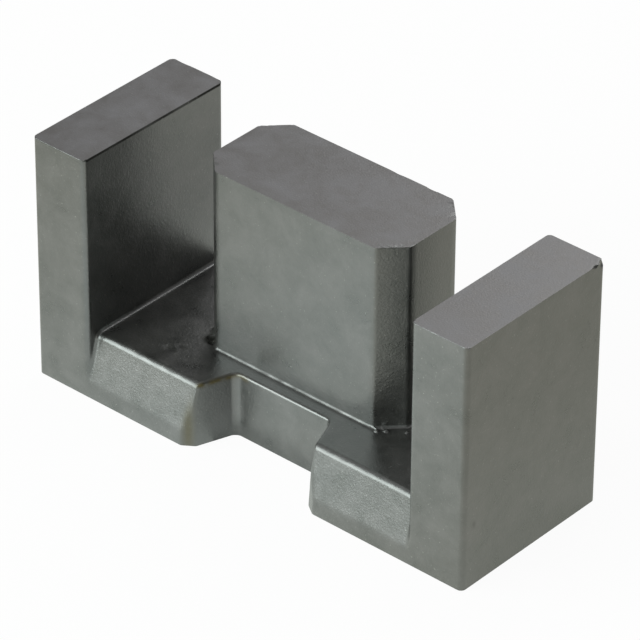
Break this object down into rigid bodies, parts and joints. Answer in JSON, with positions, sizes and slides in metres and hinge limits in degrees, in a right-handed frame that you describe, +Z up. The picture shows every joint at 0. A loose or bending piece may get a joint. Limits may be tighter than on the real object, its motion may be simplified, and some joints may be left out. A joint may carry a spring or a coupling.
{
  "type": "ferrite e core",
  "caption": "Half of a low-profile ferrite E core: flat yoke with a lead-out notch, two outer legs and an offset flat centre leg with chamfered edges.",
  "frame": {"origin": "centre of the underside, the outer face of the yoke, on which the core stands with its legs up", "axes": "+X along the width over the outer legs, +Y through the depth towards the flat back, with the lead-out notch at -Y, +Z up to the mating faces"},
  "size_m": [0.025, 0.0092, 0.0125],
  "materials": {
    "ferrite": "dark grey sintered manganese-zinc ferrite, as-fired satin sides, ground mating faces"
  },
  "bodies": {
    "root": {"e_core": "ferrite"}
  },
  "joints": []
}
